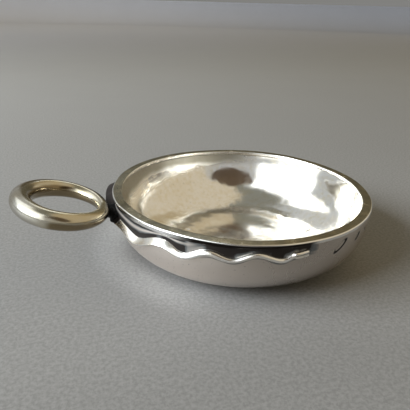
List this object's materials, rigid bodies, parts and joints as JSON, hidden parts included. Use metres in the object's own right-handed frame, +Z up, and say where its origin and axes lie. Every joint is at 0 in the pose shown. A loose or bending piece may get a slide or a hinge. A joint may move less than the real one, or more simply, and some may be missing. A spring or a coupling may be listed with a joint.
{
  "type": "tastevin",
  "caption": "Shallow round silver wine-taster's cup with a flat rim, a tapered ring handle soldered under the rim and wavy serpent wires along the wall.",
  "frame": {"origin": "centre of the flat foot, on the plane that the cup stands on", "axes": "+Z up out of the mouth of the cup, -X along the ring handle, -Y towards the side with the near serpent"},
  "size_m": [0.1081, 0.081, 0.0254],
  "materials": {
    "bowl_silver": "planished silver, worn polish with dark tarnish under the rim",
    "rim_silver": "filed flat, dull and faintly striated",
    "handle_silver": "worn polish, warm tarnish",
    "serpent_silver": "worn polish",
    "dark_solder": "oxidised solder, rough"
  },
  "bodies": {
    "root": {"bowl": "bowl_silver", "rim_band": "rim_silver", "handle_ring": "handle_silver", "handle_solder": "dark_solder", "near_serpent": "serpent_silver", "far_serpent": "serpent_silver"}
  },
  "joints": []
}
